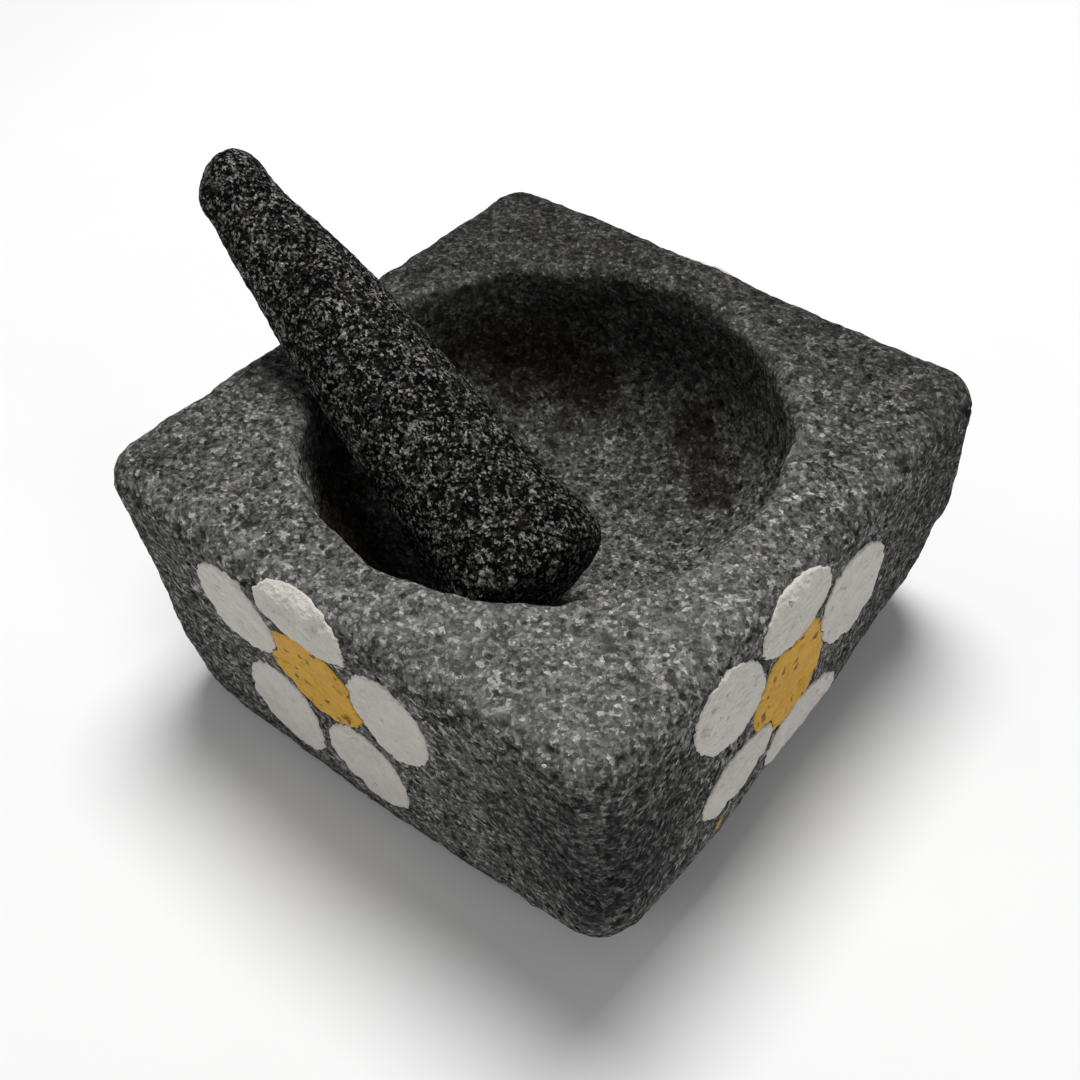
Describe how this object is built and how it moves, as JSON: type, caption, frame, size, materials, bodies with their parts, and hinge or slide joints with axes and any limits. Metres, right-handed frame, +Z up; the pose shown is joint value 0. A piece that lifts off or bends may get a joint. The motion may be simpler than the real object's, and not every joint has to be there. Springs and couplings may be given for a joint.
{
  "type": "molcajete",
  "caption": "Square volcanic-stone mortar with a round bowl, thick painted daisies on its sides and a loose stone pestle leaning in it.",
  "frame": {"origin": "under the middle of the bowl, on the plane of the mortar's flat base", "axes": "+Z up out of the bowl; -Y, +X, +Y and -X face out of the front, right, back and left sides"},
  "size_m": [0.2054, 0.1805, 0.1462],
  "materials": {
    "mortar_stone": "rough speckled basalt with open pores, paler where it is worn",
    "tejolote_stone": "rough near-black basalt with bright white speckle",
    "white_paint": "thick hand-laid acrylic paint, satin",
    "yellow_paint": "thick hand-laid acrylic paint, satin"
  },
  "bodies": {
    "mortar_body": {"mortar": "mortar_stone", "front_petal_1": "white_paint", "front_petal_2": "white_paint", "front_petal_3": "white_paint", "front_petal_4": "white_paint", "front_petal_5": "white_paint", "front_centre": "yellow_paint", "right_petal_1": "white_paint", "right_petal_2": "white_paint", "right_petal_3": "white_paint", "right_petal_4": "white_paint", "right_petal_5": "white_paint", "right_centre": "yellow_paint", "back_petal_1": "white_paint", "back_petal_2": "white_paint", "back_petal_3": "white_paint", "back_petal_4": "white_paint", "back_petal_5": "white_paint", "back_centre": "yellow_paint", "left_petal_1": "white_paint", "left_petal_2": "white_paint", "left_petal_3": "white_paint", "left_petal_4": "white_paint", "left_petal_5": "white_paint", "left_centre": "yellow_paint"},
    "tejolote_body": {"tejolote": "tejolote_stone"}
  },
  "joints": [
    {"name": "tejolote_lift", "type": "slide", "parent": "mortar_body", "child": "tejolote_body", "axis": [0, 0, 1], "range_m": [0, 0.12]}
  ]
}
